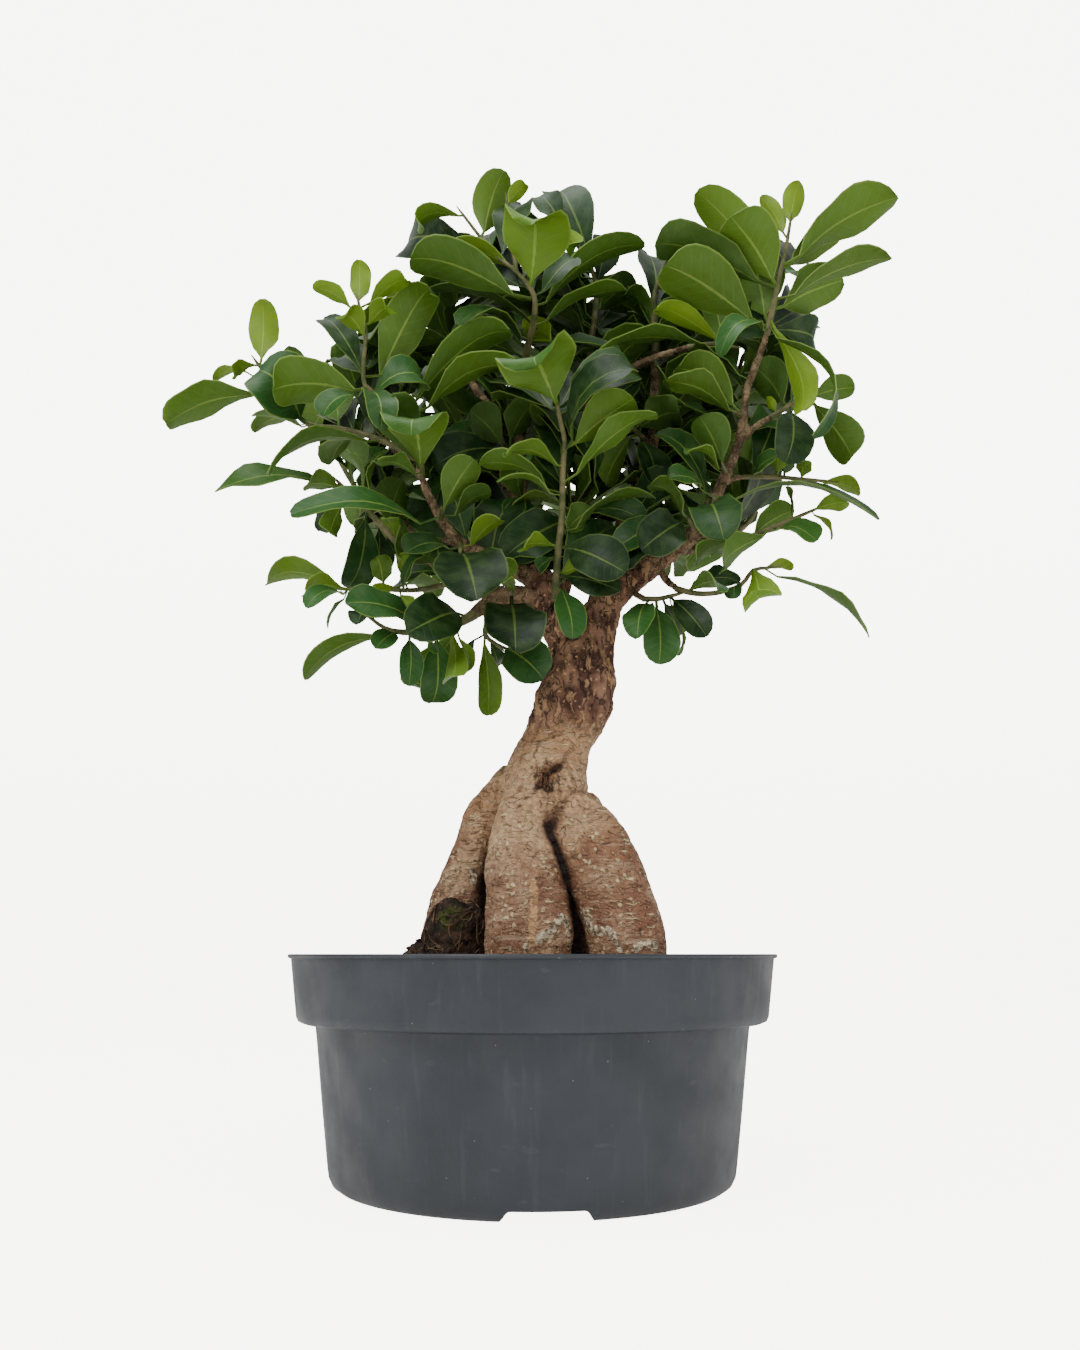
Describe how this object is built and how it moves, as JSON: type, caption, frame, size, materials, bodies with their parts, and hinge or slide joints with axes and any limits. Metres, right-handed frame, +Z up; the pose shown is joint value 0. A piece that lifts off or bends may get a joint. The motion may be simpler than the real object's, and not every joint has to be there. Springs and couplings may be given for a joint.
{
  "type": "potted ficus bonsai",
  "caption": "Small ficus bonsai with thick bare aerial roots, twisted trunk and dense glossy evergreen crown, standing in a round collared nursery pot.",
  "frame": {"origin": "middle of the pot's base, on the surface that the pot stands on", "axes": "+Z up through the middle of the pot, +X to the right and +Y away from the viewer of the plant's front"},
  "size_m": [0.333, 0.2465, 0.4814],
  "materials": {
    "pot": "slate grey injection-moulded plastic, slightly scuffed",
    "soil": "dark damp potting mix with fine roots and moss",
    "bark": "grey-brown bark, smooth on the roots and furrowed above",
    "leaf": "glossy leathery leaf, from dark green to young yellow-green"
  },
  "bodies": {
    "root": {"pot": "pot", "soil": "soil", "trunk": "bark", "shoot_upper_left": "leaf", "shoot_far_left": "leaf", "shoot_left_heart": "leaf", "shoot_left_mid": "leaf", "shoot_left_inner": "leaf", "shoot_lower_left": "leaf", "shoot_hanging_left": "leaf", "shoot_dark_round": "leaf", "shoot_mid_left": "leaf", "shoot_thin_left": "leaf", "shoot_front_centre": "leaf", "shoot_inner_centre": "leaf", "shoot_top_centre": "leaf", "shoot_top_back": "leaf", "shoot_top_right_back": "leaf", "shoot_top_right": "leaf", "shoot_mid_right": "leaf", "shoot_right_inner": "leaf", "shoot_right_outer": "leaf", "shoot_right_twig": "leaf", "shoot_right_arch": "leaf", "shoot_right_hook": "leaf", "shoot_right_dark": "leaf", "shoot_low_right": "leaf", "shoot_low_right_front": "leaf", "shoot_low_right_long": "leaf", "shoot_shade_left": "leaf", "shoot_shade_right": "leaf", "shoot_back_1": "leaf", "shoot_back_2": "leaf", "shoot_back_3": "leaf", "shoot_back_4": "leaf", "shoot_back_5": "leaf", "shoot_back_6": "leaf", "shoot_back_7": "leaf", "shoot_back_8": "leaf", "shoot_back_9": "leaf", "shoot_back_10": "leaf", "shoot_back_11": "leaf"}
  },
  "joints": []
}
